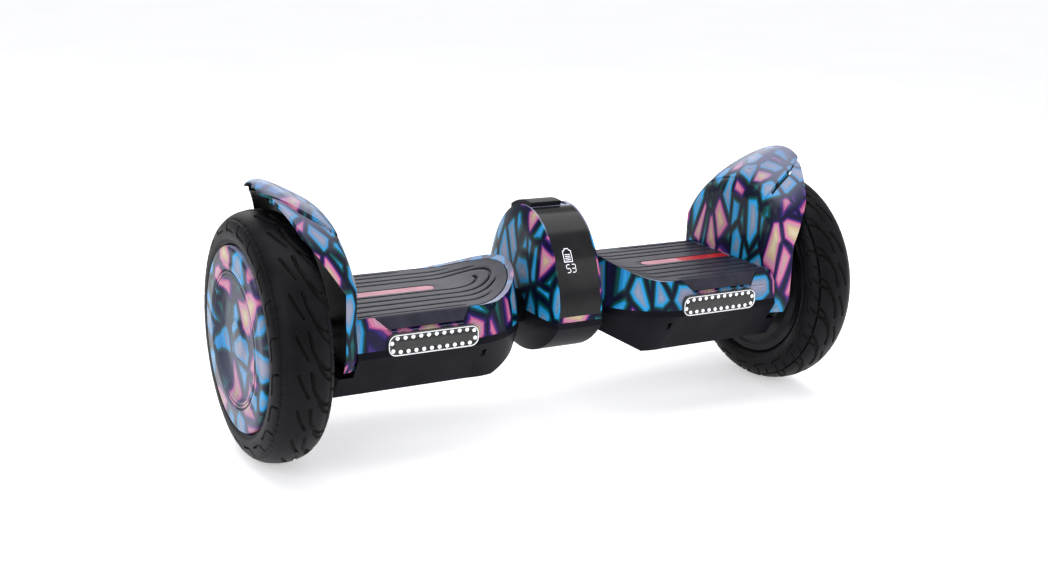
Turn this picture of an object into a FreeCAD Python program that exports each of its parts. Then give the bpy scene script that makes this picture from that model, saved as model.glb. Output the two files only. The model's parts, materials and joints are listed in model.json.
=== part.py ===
import FreeCAD, Part
import math
import os

Vector = FreeCAD.Vector

# Self balancing hoverboard. Millimetres. The origin is on the ground, midway between the wheels.
# +X runs along the wheel axle, +Z is up, and the light bars and the display face -Y.
# Each sub-part of a half is made once, for the +X half, and mirrored for the -X half.

# ---- driving dimensions ----
AXLE_Z = 127.0            # height of the wheel axle and of the central pivot
WHEEL_X = 319.4           # centre plane of a wheel
TYRE_R = AXLE_Z
TYRE_HALF = 30.5
BEAD = 22.5               # outer side of the tyre's beads, against the rim's flanges
HUB_FACE = 33.2           # hub cover's outer face, outboard of the wheel's centre plane
HUB_R = 93.5

SEAM_Z = AXLE_Z           # upper and lower covers meet here
KNEE_Z = 120.0            # below this the covers' sides lean in towards the belly
BELLY_Z = 75.0
DECK_Z = 158.0
HUMP_Z = 192.0            # top of the raised inner end of the deck
BODY_OUT = 257.0          # outer end of the covers, against the fender
BODY_IN = 43.0            # inner end of the covers
BEND_X = 124.0            # the round inner end starts here
HALF_DEPTH = 90.0         # half depth of the covers at the seam
BELLY_HALF = 61.5
TOP_HALF = 78.0
WALL = 3.0

PAD_T = 4.0
PAD_GAP = 1.9             # free space below a foot pad
PAD_RIM = 4.0             # width of the cover's rim round the pad
TAB = (130.0, 237.0)      # the pad's tab laps over the front edge between these
TAB_SLANT = (20.0, 22.5)  # how far its inner and outer ends slant in towards the foot
TAB_LOW = 145.5

STRIP_HALF = 7.5          # light strip in the middle of a foot pad
STRIP_Y = 3.0
STRIP_TIP = 133.5

LED_X = (126.8, 226.6)    # ends of the light bar
LED_Z = 131.0
LED_H = 23.0
LED_FRONT = 91.5
LED_DEEP = 9.0

FENDER_HALF = 97.3
FENDER_T = 3.0
FENDER_SIDE_Z = 190.0     # the fender's upright sides end here and its arch starts
FENDER_KNEE_Z = 124.0     # and below this they turn in towards the foot
FENDER_FOOT_Z = 99.0

RING_HALF = 27.0          # half width of the centre ring at its rim
RING_BULGE = 33.0         # and at the middle of its side faces
RING_DEPTH = 80.0
RING_TOP = 239.0
RING_BOTTOM = 79.0

SHAFT_R = 19.0
SHAFT_BORE = 14.0
SHAFT_X = (-92.0, 95.0)
FIT = 0.05                # radial clearance of a running fit
BLOCK_X = (58.0, 92.0)    # pivot block of a chassis
AXLE_R = 10.0
AXLE_X = (222.0, 344.0)

HANDLE_X = (-25.0, 12.0)
HANDLE_Y = (-10.0, 34.0)
HANDLE_RISE = 5.0
LEG_FEET = ((-8.0, 200.0), (22.0, 191.0))   # front side and foot height of the handle's legs


# ---- helpers ----
def box(x, y, z):
    """Box between two limits on each axis."""
    corner = Vector(x[0], y[0], z[0])
    return Part.makeBox(x[1] - x[0], y[1] - y[0], z[1] - z[0], corner)


def rod_x(x, r, y=0.0, z=AXLE_Z):
    """Cylinder along X."""
    return Part.makeCylinder(r, x[1] - x[0], Vector(x[0], y, z), Vector(1, 0, 0))


def tube_x(x, r_in, r_out):
    """Tube along the axle line."""
    return rod_x(x, r_out).cut(rod_x((x[0] - 1, x[1] + 1), r_in))


def rod(foot, direction, r, length):
    """Cylinder from a foot point along any direction."""
    return Part.makeCylinder(r, length, foot, direction)


def closed_wire(points):
    return Part.makePolygon(points + [points[0]])


def prism(points, along):
    """Solid from a flat polygon, pushed along a vector."""
    return Part.Face(closed_wire(points)).extrude(along)


def loft(wires):
    return Part.makeLoft(wires, True, False)


def turned(profile):
    """Solid of revolution about the axle line; the profile is (x, radius) pairs."""
    points = [Vector(x, 0, AXLE_Z + r) for x, r in profile]
    face = Part.Face(closed_wire(points))
    return face.revolve(Vector(0, 0, AXLE_Z), Vector(1, 0, 0), 360)


def fused(shapes):
    return shapes[0].multiFuse(shapes[1:]).removeSplitter()


def around_axle(shape, count):
    """Copies of a shape, evenly spaced about the axle line."""
    copies = []
    for i in range(count):
        copy = shape.copy()
        copy.rotate(Vector(0, 0, AXLE_Z), Vector(1, 0, 0), 360.0 * i / count)
        copies.append(copy)
    return copies


def mirrored(shape):
    return shape.mirror(Vector(0, 0, 0), Vector(1, 0, 0))


# ---- envelope of one half's covers ----
def d_outline(z, half, inner, outer=BODY_OUT):
    """Plan outline with a round inner end, at one height."""
    front = Vector(BEND_X, -half, z)
    rear = Vector(BEND_X, half, z)
    end = Part.Arc(front, Vector(inner, 0, z), rear).toShape()
    sides = Part.makePolygon([rear, Vector(outer, half, z), Vector(outer, -half, z), front])
    return Part.Wire([end] + sides.Edges)


def deck_height(x, drop):
    """Height of the deck's middle line, less a drop: flat, then an arc up to the inner end."""
    reach = BEND_X - 4.0 - BODY_IN
    rise = HUMP_Z - DECK_Z
    radius = (reach ** 2 + rise ** 2) / (2 * rise)
    run = max(0.0, BEND_X - 4.0 - x)
    return DECK_Z - drop + radius - math.sqrt(radius ** 2 - run ** 2)


def side_profile(wall, drop, outer):
    """Side view of the half as a thick slab: deck line, hump, inner chamfer and belly."""
    flat_end = BEND_X - 4.0
    middle = (flat_end + BODY_IN) / 2
    far = HALF_DEPTH + 10
    start = Vector(outer, -far, DECK_Z - drop)
    bend = Vector(flat_end, -far, DECK_Z - drop)
    hump = Vector(BODY_IN, -far, deck_height(BODY_IN, drop))
    arc = Part.Arc(bend, Vector(middle, -far, deck_height(middle, drop)), hump).toShape()
    low = [
        hump,
        Vector(BODY_IN - 1, -far, hump.z),
        Vector(BODY_IN - 1, -far, BELLY_Z + 29 + wall),
        Vector(BEND_X - 29, -far, BELLY_Z + wall),
        Vector(outer, -far, BELLY_Z + wall),
        start,
    ]
    edges = [Part.makeLine(start, bend), arc] + Part.makePolygon(low).Edges
    return Part.Face(Part.Wire(edges)).extrude(Vector(0, 2 * far, 0))


def edge_section(wall, drop, outer):
    """End view of the half as a long bar: upright sides, then a chamfer up to the deck."""
    half = HALF_DEPTH - wall
    right = [
        (half, BELLY_Z - 5),
        (half, KNEE_Z),
        (half - 1.5, DECK_Z - 15 - drop),
        (half - 12, DECK_Z - drop),
        (half - 14, HUMP_Z + 5),
    ]
    points = [Vector(BODY_IN - 5, y, z) for y, z in right]
    points += [Vector(BODY_IN - 5, -y, z) for y, z in reversed(right)]
    return prism(points, Vector(outer - BODY_IN + 10, 0, 0))


def envelope(wall=0.0, drop=0.0, outer=BODY_OUT):
    """Outer shape of a half's covers, or with a wall and a drop the hollow inside them."""
    high = HUMP_Z + 5
    knee = d_outline(KNEE_Z, HALF_DEPTH - wall, BODY_IN + wall, outer)
    top = d_outline(high, TOP_HALF - wall, BODY_IN + 10 + wall, outer)
    low = d_outline(BELLY_Z, BELLY_HALF - wall, BODY_IN + 8 + wall, outer)
    whole = fused([loft([knee, top]), loft([low, knee])])
    whole = whole.common(edge_section(wall, drop, outer))
    return whole.common(side_profile(wall, drop, outer))


def pad_plan(grow):
    """Upright prism over the foot pad's plan outline, tab included."""
    inner = BODY_IN + 10 + PAD_RIM - grow
    half = HALF_DEPTH - 12.5 + grow
    outline = d_outline(SEAM_Z, half, inner, BODY_OUT - 0.6 + grow)
    plan = Part.Face(outline).extrude(Vector(0, 0, 90))
    tab = prism(
        [
            Vector(TAB[0] - grow, -half + 1, SEAM_Z),
            Vector(TAB[0] + TAB_SLANT[0] - grow, -HALF_DEPTH - 2, SEAM_Z),
            Vector(TAB[1] - TAB_SLANT[1] + grow, -HALF_DEPTH - 2, SEAM_Z),
            Vector(TAB[1] + grow, -half + 1, SEAM_Z),
        ],
        Vector(0, 0, 90),
    )
    return fused([plan, tab])


def skin(depth, low):
    """The covers' outer layer, to a depth below the top surfaces and down to a lowest height."""
    outer = envelope()
    lowered = outer.copy()
    lowered.translate(Vector(0, 0, -depth))
    return outer.cut(lowered).common(box((0, 300), (-120, 120), (low, 260)))


def pad_posts(grow=0.0, top=DECK_Z):
    """Four posts below a foot pad that press its switches."""
    posts = []
    for x in (150.0, 215.0):
        for y in (-40.0, 40.0):
            posts.append(rod(Vector(x, y, 142.5 - grow), Vector(0, 0, 1), 4.0 + grow, top - 142.5))
    return posts


def strip(grow=0.0, top=DECK_Z - 0.6):
    """Light strip that shows through the middle of a foot pad."""
    half = STRIP_HALF + grow
    bend = STRIP_TIP + STRIP_HALF
    low = DECK_Z - 10.5
    bar = box((bend, BODY_OUT - 1.2 + grow), (STRIP_Y - half, STRIP_Y + half), (low, top))
    tip = rod(Vector(bend, STRIP_Y, low), Vector(0, 0, 1), half, top - low)
    return fused([bar, tip])


def led_block():
    """Rounded light bar block, set across the seam of the covers."""
    y = (-LED_FRONT, -LED_FRONT + LED_DEEP)
    half = LED_H / 2
    low = Vector(0, y[0], LED_Z)
    ends = []
    for x in (LED_X[0] + half, LED_X[1] - half):
        ends.append(rod(low + Vector(x, 0, 0), Vector(0, 1, 0), half, LED_DEEP))
    middle = box((LED_X[0] + half, LED_X[1] - half), y, (LED_Z - half, LED_Z + half))
    return fused([middle] + ends)


def half_screws():
    """Fasteners of one half: six cover screws from below and four axle clamp screws."""
    screws = []
    for x in (112.0, 168.0, 224.0):
        for y in (-44.0, 44.0):
            head = rod(Vector(x, y, BELLY_Z + 0.5), Vector(0, 0, 1), 3.5, 2.5)
            shank = rod(Vector(x, y, BELLY_Z + 3.0), Vector(0, 0, 1), 1.75, 7.5)
            screws.append(fused([head, shank]))
    for x in (230.0, 246.0):
        for y in (-20.0, 20.0):
            head = rod(Vector(x, y, AXLE_Z + 16), Vector(0, 0, 1), 4.0, 4.0)
            shank = rod(Vector(x, y, AXLE_Z - 14), Vector(0, 0, 1), 2.5, 30.0)
            screws.append(fused([head, shank]))
    return Part.Compound(screws)


# ---- structure of one half ----
def chassis():
    """Cast tray: a floor with two side walls, a pivot block inboard and an axle saddle outboard."""
    inner = BLOCK_X[1] + 5
    floor = box((inner, 254), (-52, 52), (79, 86))
    walls = [box((inner, 254), (y, y + 7), (86, 116)) for y in (-52, 45)]
    ramp = prism(
        [
            Vector(BLOCK_X[0], -30, 112),
            Vector(inner, -30, 79),
            Vector(inner + 6, -30, 79),
            Vector(inner + 6, -30, 112),
        ],
        Vector(0, 60, 0),
    )
    block = box(BLOCK_X, (-30, 30), (104, 151))
    saddle = box((224, 254), (-34, 34), (86, AXLE_Z))
    body = fused([floor, ramp, block, saddle] + walls)
    return body.cut(rod_x((210, 260), AXLE_R)).cut(half_screws())


def left_chassis():
    """The -X chassis holds the pivot shaft fast."""
    return mirrored(chassis()).cut(rod_x(SHAFT_X, SHAFT_R))


def right_chassis():
    """The +X chassis turns on the shaft's bushes; two ears beside the shaft's lug end the twist."""
    bore = rod_x((BLOCK_X[0] - 1, BLOCK_X[1] + 8), SHAFT_R + 4)
    ears = [box((BLOCK_X[0] - 5, BLOCK_X[0] + 1), (y, y + 6), (145.5, 151)) for y in (-15.0, 9.0)]
    pocket = rod_x((BLOCK_X[1], BLOCK_X[1] + 8), SHAFT_R + 5)
    return fused([chassis()] + ears).cut(bore).cut(pocket)


def axle_clamp():
    """Cap that clamps the axle into the saddle."""
    cap = box((226, 252), (-30, 30), (AXLE_Z, AXLE_Z + 16))
    return cap.cut(rod_x((220, 260), AXLE_R)).cut(half_screws())


def upper_cover():
    """Printed upper cover: deck with a sunk seat for the foot pad, and the sides down to the seam."""
    whole = envelope().cut(envelope(WALL, PAD_T + PAD_GAP + 3.2, BODY_OUT + 5))
    cover = whole.common(box((0, 300), (-120, 120), (SEAM_Z, 260)))
    cover = cover.cut(pad_plan(0.5).common(skin(PAD_T + PAD_GAP, TAB_LOW - PAD_GAP)))
    tools = [strip(), led_block(), rod_x((0, 70), SHAFT_R + 3.5)] + pad_posts(0.5)
    return cover.cut(Part.Compound(tools))


def lower_cover():
    """Black lower cover with a chamfered inner end and a short tail below the fender."""
    outer = envelope(0.0, 0.0, 272.0)
    hollow = envelope(WALL, 0.0, 272.0 - WALL)
    cover = outer.cut(hollow).common(box((0, 300), (-120, 120), (0, SEAM_Z)))
    cover = cover.cut(box((BODY_OUT, 300), (-120, 120), (FENDER_FOOT_Z - 0.3, 200)))
    notch = box((113.5, 118.5), (-90, -78), (103, 112))
    return cover.cut(Part.Compound([led_block(), rod_x((0, 70), SHAFT_R + 3.5), notch, half_screws()]))


def foot_pad():
    """Rubber foot pad with its tab, a slot for the light strip and four switch posts below."""
    sheet = pad_plan(0.0).common(skin(PAD_T, TAB_LOW)).cut(strip(0.6, DECK_Z + 1))
    posts = [post.common(envelope(0.0, PAD_T - 0.5)) for post in pad_posts()]
    return fused([sheet] + posts)


def strip_lens():
    """Translucent light strip, held by the upper cover below the pad."""
    return strip()


def light_bar_lens():
    """Clear front of the light bar, hollow from behind."""
    hollow = led_block()
    hollow.translate(Vector(0, 2.0, 0))
    inner = box((LED_X[0] + 5, LED_X[1] - 5), (-LED_FRONT + 2, 0), (LED_Z - 8.5, LED_Z + 8.5))
    return led_block().cut(hollow.common(inner))


def light_bar_board():
    """Light bar circuit board, with a row of light emitters along its top and bottom edges."""
    board = box((LED_X[0] + 6, LED_X[1] - 6), (-LED_FRONT + 5, -LED_FRONT + 6.2), (LED_Z - 8, LED_Z + 8))
    emitters = []
    for i in range(10):
        x = LED_X[0] + 12 + i * (LED_X[1] - LED_X[0] - 24) / 9
        for z in (LED_Z - 6, LED_Z + 6):
            emitters.append(box((x - 1.5, x + 1.5), (-LED_FRONT + 3.6, -LED_FRONT + 5), (z - 1.5, z + 1.5)))
    return fused([board] + emitters)


def gyro_board():
    """Balance sensor board on stand-offs, with the four pad switches below the posts."""
    board = box((140, 221), (-52, 52), (133, 134.6))
    switches = [box((x - 5, x + 5), (y - 5, y + 5), (134.6, 140.5)) for x in (150, 215) for y in (-40, 40)]
    legs = [box((x - 3, x + 3), (y - 3, y + 3), (116, 133)) for x in (146, 215) for y in (-48.5, 48.5)]
    return fused([board] + switches + legs)


# ---- fender ----
def arch(x, half, top, shrink=0.0, foot=FENDER_FOOT_Z):
    """End view of the fender at one distance along the axle."""
    w = half - shrink
    points = [
        Vector(x, -w, FENDER_KNEE_Z),
        Vector(x, -w, FENDER_SIDE_Z),
        Vector(x, w, FENDER_SIDE_Z),
        Vector(x, w, FENDER_KNEE_Z),
        Vector(x, w * 0.93, foot + 10),
        Vector(x, w * 0.74, foot),
        Vector(x, -w * 0.74, foot),
        Vector(x, -w * 0.93, foot + 10),
    ]
    crown = Part.Arc(points[1], Vector(x, 0, top - shrink), points[2]).toShape()
    edges = [Part.makeLine(points[0], points[1]), crown]
    for a, b in ((2, 3), (3, 4), (4, 5), (5, 6), (6, 7), (7, 0)):
        edges.append(Part.makeLine(points[a], points[b]))
    return Part.Wire(edges)


def hood():
    """Upright plate beside the foot pad, and the hood that arches over the tyre."""
    stations = [
        (BODY_OUT, 86.0, 234.0),
        (264.0, 93.5, 250.5),
        (276.0, FENDER_HALF, 260.5),
        (300.0, FENDER_HALF, 272.5),
        (325.0, 92.0, 279.0),
    ]
    outer = loft([arch(x, half, top) for x, half, top in stations])
    inner = loft([arch(x + FENDER_T, half, top, FENDER_T, 80.0) for x, half, top in stations])
    side_cut = [(272.2, 60), (272.2, 190), (301, 234.5), (321.5, 261), (350, 262), (350, 60)]
    plan_cut = [(284, 120), (284, 99), (301, 80), (321.5, 38), (350, 38), (350, 120)]
    shell = outer.cut(inner)
    shell = shell.cut(prism([Vector(x, -130, z) for x, z in side_cut], Vector(0, 260, 0)))
    for side in (-1, 1):
        corner = prism([Vector(x, side * y, 60) for x, y in plan_cut], Vector(0, 0, 300))
        shell = shell.cut(corner)
    return shell.cut(box((321.5, 350), (-60, 60), (60, 300)))


def bill_section(x, half, top, edge, low, inset=0.0):
    """End view of the bill at one distance along the axle: two upright sides under a shallow arc."""
    half -= inset
    points = [Vector(x, -half, low), Vector(x, -half, edge - inset)]
    crown = Part.Arc(points[1], Vector(x, 0, top - inset), Vector(x, half, edge - inset)).toShape()
    foot = Vector(x, half, low)
    right = Part.makeLine(Vector(x, half, edge - inset), foot)
    return Part.Wire([Part.makeLine(*points), crown, right, Part.makeLine(foot, points[0])])


def bill():
    """Raised channel along the hood's crown that runs on past it as the fender's lip, open below."""
    stations = [
        (263.0, 52.0, 251.0, 237.5, 233.0),
        (276.0, 50.0, 263.5, 249.5, 245.5),
        (300.0, 44.0, 277.0, 265.0, 260.5),
        (317.0, 36.0, 284.5, 274.0, 267.5),
        (331.5, 22.0, 283.5, 276.5, 268.5),
    ]
    outer = loft([bill_section(*station) for station in stations])
    hollow = []
    for x, half, top, edge, low in stations:
        hollow.append(bill_section(x + FENDER_T, half, top, edge, low - 4, FENDER_T - 0.5))
    return outer.cut(loft(hollow))


def bill_slots():
    """Tapering slots through the hood along both sides of the bill."""
    slots = []
    for side in (-1, 1):
        wires = []
        for x, half, width in ((270.0, 50.6, 4.8), (300.0, 43.7, 3.8), (326.0, 27.0, 2.8)):
            near, far = sorted((side * half, side * (half + width)))
            corners = [(near, 225), (far, 225), (far, 300), (near, 300)]
            wires.append(closed_wire([Vector(x, y, z) for y, z in corners]))
        slots.append(Part.makeLoft(wires, True, True))
    return Part.Compound(slots)


def fender():
    """Plate and hood with the raised bill on top."""
    return fused([hood().cut(bill_slots()), bill()]).cut(rod_x((250, 270), 26.0))


# ---- wheel and hub motor ----
def tyre():
    """Hollow air tyre, seated on the rim."""
    outer = [
        (-BEAD, 84), (-BEAD, 91.3), (-28.5, 96), (-TYRE_HALF, 103), (-29.8, 110), (-26, 117.5),
        (-17, 124), (-6, 126.7), (0, TYRE_R), (6, 126.7), (17, 124),
        (26, 117.5), (29.8, 110), (TYRE_HALF, 103), (28.5, 96), (BEAD, 91.3), (BEAD, 84),
    ]
    inner = [
        (16, 84), (17.5, 93), (23, 102), (22, 109), (15, 115.5), (0, 118.5),
        (-15, 115.5), (-22, 109), (-23, 102), (-17.5, 93), (-16, 84),
    ]
    return turned([(WHEEL_X + x, r) for x, r in outer + inner])


def tyre_valve():
    """Air valve through the rim's wall, reached from the inboard side."""
    return rod_x((WHEEL_X - 34, WHEEL_X - 15), 2.2, 0, AXLE_Z + 80.5)


def wheel_rim():
    """Rotor drum of the hub motor: tyre seat, flanges, magnet bore and the inboard side wall."""
    x = WHEEL_X
    profile = [
        (x - 27, 15), (x - 27, 60), (x - 29, 66), (x - 29, 78), (x - 25, 84), (x - 25, 91),
        (x - BEAD, 91), (x - BEAD, 84), (x - 16, 84), (x - 15, 79), (x + 15, 79), (x + 16, 84),
        (x + BEAD, 84), (x + BEAD, 91), (x + 25, 91), (x + 25, 76), (x + 24, 74.5), (x - 20, 74.5),
        (x - 20, 15),
    ]
    return turned(profile).cut(tyre_valve())


def motor_cover():
    """Outboard side plate of the hub motor."""
    x = WHEEL_X
    profile = [(x + 17, 15), (x + 17, 74.5), (x + 24, 74.5), (x + 24, 30), (x + 24.5, 26), (x + 24.5, 15)]
    return turned(profile).cut(Part.Compound(cover_screw_solids()))


def cover_screw_solids():
    head = rod_x((WHEEL_X + 21, WHEEL_X + 24), 3.5, 0, AXLE_Z + 66)
    shank = rod_x((WHEEL_X + 17.5, WHEEL_X + 21), 1.75, 0, AXLE_Z + 66)
    return around_axle(fused([head, shank]), 6)


def rotor_screws():
    return Part.Compound(cover_screw_solids())


def hub_cover():
    """Printed wheel cover: flat outer ring, a grooved ridge, and a sunk dish with a centre boss."""
    face = WHEEL_X + HUB_FACE
    profile = [
        (-8.2, 91.0), (-6.5, HUB_R), (-3.0, HUB_R), (-0.9, 91.0), (-0.5, 87.5), (-0.5, 77.0),
        (0.0, 76.0), (0.0, 69.5), (-1.6, 68.7), (-1.6, 67.6), (-0.2, 66.8), (-0.4, 64.5),
        (-5.6, 60.5), (-6.4, 55.0), (-6.4, 22.0), (-3.6, 17.5), (-3.0, 0.0), (-5.0, 0.0),
        (-8.2, 14.0),
    ]
    return turned([(face + x, r) for x, r in profile])


def wheel_bearings():
    """Two ball bearings between the axle and the rotor, drawn as their outer shapes."""
    inboard = tube_x((WHEEL_X - 27, WHEEL_X - 20), AXLE_R + FIT, 15.0)
    outboard = tube_x((WHEEL_X + 17, WHEEL_X + 24), AXLE_R + FIT, 15.0)
    return Part.Compound([inboard, outboard])


def rotor_magnets():
    """Twenty magnets inside the rotor drum."""
    ring = tube_x((WHEEL_X - 14, WHEEL_X + 14), 70.5, 74.5)
    gap = box((WHEEL_X - 15, WHEEL_X + 15), (-0.8, 0.8), (AXLE_Z + 60, AXLE_Z + 80))
    return Part.Compound(ring.cut(Part.Compound(around_axle(gap, 20))).Solids)


def stator():
    """Laminated stator with eighteen teeth."""
    core = tube_x((WHEEL_X - 12, WHEEL_X + 12), AXLE_R, 46.0)
    tooth = box((WHEEL_X - 12, WHEEL_X + 12), (-3.5, 3.5), (AXLE_Z + 45, AXLE_Z + 65))
    shoe = box((WHEEL_X - 12, WHEEL_X + 12), (-8.5, 8.5), (AXLE_Z + 65, AXLE_Z + 68.5))
    lightening = rod_x((WHEEL_X - 13, WHEEL_X + 13), 8.0, 0, AXLE_Z + 28)
    body = fused([core] + around_axle(tooth, 18) + around_axle(shoe, 18))
    return body.cut(Part.Compound(around_axle(lightening, 6)))


def stator_coils():
    """One winding round each stator tooth."""
    outer = box((WHEEL_X - 15, WHEEL_X + 15), (-6.5, 6.5), (AXLE_Z + 48, AXLE_Z + 64.5))
    coil = outer.cut(box((WHEEL_X - 12, WHEEL_X + 12), (-3.5, 3.5), (AXLE_Z + 40, AXLE_Z + 70)))
    return Part.Compound(around_axle(coil, 18))


def axle():
    """Fixed motor axle, drilled at its inboard end for the motor lead."""
    shaft = rod_x(AXLE_X, AXLE_R)
    collar = tube_x((WHEEL_X - 45, WHEEL_X - 28), AXLE_R, 14.0)
    return fused([shaft, collar]).cut(rod_x((AXLE_X[0] - 1, AXLE_X[0] + 24), 4.5))


# ---- centre: pivot, ring, display, handle ----
def pivot_shaft():
    """Hollow shaft that joins the halves, with a twist lug and a groove for its retaining ring."""
    shaft = tube_x(SHAFT_X, SHAFT_BORE, SHAFT_R)
    lug = box((BLOCK_X[0] - 5, BLOCK_X[0] - 1), (-3, 3), (AXLE_Z + SHAFT_BORE + 2, AXLE_Z + 25))
    groove = tube_x((BLOCK_X[1] + 1, BLOCK_X[1] + 2.6), SHAFT_R - 1.5, SHAFT_R + 2)
    return fused([shaft, lug]).cut(groove)


def pivot_bushes():
    """Two flanged bushes pressed into the +X chassis."""
    bushes = []
    for x in ((BLOCK_X[0], BLOCK_X[0] + 14), (BLOCK_X[1] - 14, BLOCK_X[1])):
        bushes.append(tube_x(x, SHAFT_R + FIT, SHAFT_R + 4))
    return Part.Compound(bushes)


def pivot_retaining_ring():
    """Open spring ring in the shaft's groove."""
    ring = tube_x((BLOCK_X[1] + 1, BLOCK_X[1] + 2.6), SHAFT_R - 1.5, SHAFT_R + 3)
    return ring.cut(box((BLOCK_X[1], BLOCK_X[1] + 4), (-3, 3), (AXLE_Z - 30, AXLE_Z)))


def ring_outline(x, inset):
    """Egg outline of the centre ring: half an ellipse on top of a flatter arc."""
    depth = RING_DEPTH - inset
    top = RING_TOP - inset
    bottom = RING_BOTTOM + inset
    side = 120.0
    centre = Vector(x, 0, AXLE_Z)
    ellipse = Part.Ellipse(Vector(x, 0, top), Vector(x, depth, AXLE_Z), centre)
    crown = Part.ArcOfEllipse(ellipse, -math.pi / 2, math.pi / 2).toShape()
    ends = sorted((v.Point for v in crown.Vertexes), key=lambda p: p.y)
    low_front = Vector(x, ends[0].y, side)
    low_rear = Vector(x, ends[1].y, side)
    belly = Part.Arc(low_front, Vector(x, 0, bottom), low_rear).toShape()
    flanks = [Part.makeLine(ends[0], low_front), Part.makeLine(low_rear, ends[1])]
    return Part.Wire(Part.__sortEdges__([crown, flanks[0], belly, flanks[1]]))


def ring_solid(inset=0.0, width=0.0):
    """The ring's outer shape, or a smaller copy: a straight rim with domed side faces."""
    rim = RING_HALF + width
    bulge = RING_BULGE + width
    straight = Part.Face(ring_outline(-rim, inset)).extrude(Vector(2 * rim, 0, 0))
    domes = []
    for side in (-1, 1):
        wires = [
            ring_outline(side * rim, inset),
            ring_outline(side * (rim + bulge) / 2, inset + 7),
            ring_outline(side * bulge, inset + 22),
        ]
        domes.append(loft(wires))
    return fused([straight] + domes)


def display_zone(grow=0.0):
    """Front of the ring's rim, from the crown down to just above the seam."""
    return box((-25.0 - grow, 25.0 + grow), (-90, HANDLE_Y[0] - 1 + grow), (133.0 - grow, 250))


def handle_legs(grow=0.0):
    """Two flat legs that guide the handle up and down."""
    legs = []
    for y, low in LEG_FEET:
        leg = box((-20 - grow, 7 + grow), (y - grow, y + 8 + grow), (low, 260))
        legs.append(leg.common(ring_solid(-HANDLE_RISE)))
    return legs


def ring_upper_shell():
    """Printed upper shell of the centre ring, with a seat for the display and slots for the handle."""
    shell = ring_solid().cut(ring_solid(WALL, -WALL))
    shell = shell.common(box((-40, 40), (-100, 100), (SEAM_Z, 260)))
    seat = display_zone().common(ring_solid().cut(ring_solid(1.6)))
    finger_notch = box((HANDLE_X[1] + 0.5, 22), (-8, 30), (200, 260)).cut(ring_solid(1.8))
    shell = shell.cut(seat).cut(Part.Compound(handle_legs(0.4)))
    return shell.cut(finger_notch).cut(rod_x((-40, 40), SHAFT_R))


def ring_lower_shell():
    """Black lower shell of the centre ring."""
    shell = ring_solid().cut(ring_solid(WALL, -WALL))
    shell = shell.common(box((-40, 40), (-100, 100), (0, SEAM_Z)))
    return shell.cut(rod_x((-40, 40), SHAFT_R))


def display_window():
    """Smoked display window that wraps the front of the ring."""
    return display_zone().common(ring_solid().cut(ring_solid(1.6)))


def display_board():
    """Display circuit board behind the window, held off the shell by two feet."""
    board = box((-18, 18), (-1.6, 0), (-24, 24))
    feet = [box((x - 2, x + 2), (-7.0, -1.6), (z - 2, z + 2)) for x in (-15, 15) for z in (-20, 20)]
    whole = fused([board] + feet)
    whole.rotate(Vector(0, 0, 0), Vector(1, 0, 0), -27)
    whole.translate(Vector(0, -56.5, 180))
    return whole.cut(ring_solid().cut(ring_solid(WALL)))


def carry_handle():
    """Pop-up carry handle: a bar that follows the crown, on two legs with stop feet."""
    zone = box(HANDLE_X, HANDLE_Y, (150, 260))
    bar = zone.common(ring_solid(-HANDLE_RISE).cut(ring_solid(-0.2)))
    legs = handle_legs()
    feet = []
    for y, low in LEG_FEET:
        feet.append(box((-22, 9), (y - 2, y + 10), (low - 3, low)))
    return fused([bar] + legs + feet)


# ---- power and control ----
def battery_pack():
    """Wrapped battery in the -X tray."""
    pack = box((-214, -108), (-40, 40), (86, 117))
    return pack.makeFillet(4.0, [e for e in pack.Edges if abs(e.tangentAt(e.FirstParameter).x) > 0.9])


def main_board():
    """Motor control board in the +X tray, with its heat sink and two capacitors."""
    board = box((112, 212), (-38, 38), (92, 93.6))
    feet = [box((x - 3, x + 3), (y - 3, y + 3), (86, 92)) for x in (117, 207) for y in (-33, 33)]
    sink = box((120, 205), (-30, -18), (93.6, 108))
    tanks = [rod(Vector(x, 20, 93.6), Vector(0, 0, 1), 8.0, 18.0) for x in (135, 160)]
    return fused([board, sink] + feet + tanks)


# The rear wall of the lower cover leans; the button and the charge socket stand square to it.
LEAN = math.atan2(HALF_DEPTH - BELLY_HALF, KNEE_Z - BELLY_Z)
REAR_OUT = Vector(0, math.cos(LEAN), -math.sin(LEAN))
REAR_UP = Vector(0, math.sin(LEAN), math.cos(LEAN))
REAR_Z = 101.0
REAR_Y = BELLY_HALF + (REAR_Z - BELLY_Z) * math.tan(LEAN)
BUTTON_AT = Vector(-130, REAR_Y, REAR_Z)
SOCKET_AT = Vector(-190, REAR_Y, REAR_Z)


def square_to_rear(centre, lift, width, height, depth):
    """Box centred on a rear point, lifted off the wall, square to it and deep inwards."""
    block = Part.makeBox(width, depth, height, Vector(-width / 2, -depth, -height / 2))
    block.rotate(Vector(0, 0, 0), Vector(1, 0, 0), -math.degrees(LEAN))
    block.translate(centre + REAR_OUT * lift)
    return block


def power_button_cap():
    """Round power button with a retaining shoulder behind the cover's wall."""
    stem = rod(BUTTON_AT + REAR_OUT * -8, REAR_OUT, 6.5, 10.5)
    shoulder = rod(BUTTON_AT + REAR_OUT * -8, REAR_OUT, 8.5, 2.0)
    return fused([stem, shoulder])


def power_switch():
    """Switch body behind the power button."""
    body = rod(BUTTON_AT + REAR_OUT * -22, REAR_OUT, 9.0, 12.0)
    return body


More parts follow.
